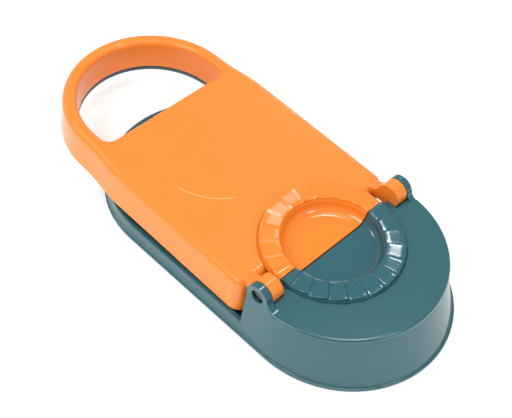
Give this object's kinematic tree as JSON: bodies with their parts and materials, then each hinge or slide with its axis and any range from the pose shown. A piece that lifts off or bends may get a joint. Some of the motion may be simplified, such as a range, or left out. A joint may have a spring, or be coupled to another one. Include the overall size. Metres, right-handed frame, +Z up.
{
  "type": "empanada press",
  "caption": "Hinged hand press for filled dough: a flat wrapper press with a ring-shaped handle and a half-moon folding mould with crimped rims.",
  "frame": {"origin": "under the middle of the whole press, on the table", "axes": "+X towards the mould end, -X towards the handle, +Z up, +Y across"},
  "size_m": [0.2758, 0.1244, 0.0446],
  "materials": {
    "teal_plastic": "gloss",
    "teal_mould": "gloss",
    "orange_plastic": "gloss",
    "orange_mould": "gloss",
    "liner_plastic": "gloss",
    "silicone": "matte"
  },
  "bodies": {
    "base": {"base_shell": "teal_plastic", "base_mould": "teal_mould", "dough_plate": "teal_plastic", "foot_pads": "silicone"},
    "lid": {"lid_shell": "orange_plastic", "lid_mould": "orange_mould", "lid_liner": "liner_plastic", "press_plate": "liner_plastic"}
  },
  "joints": [
    {"name": "lid_hinge", "type": "hinge", "parent": "base", "child": "lid", "pos_m": [0.06206, 0, 0.0374], "axis": [0, 1, 0], "range_deg": [-1.8, 178.2]}
  ]
}
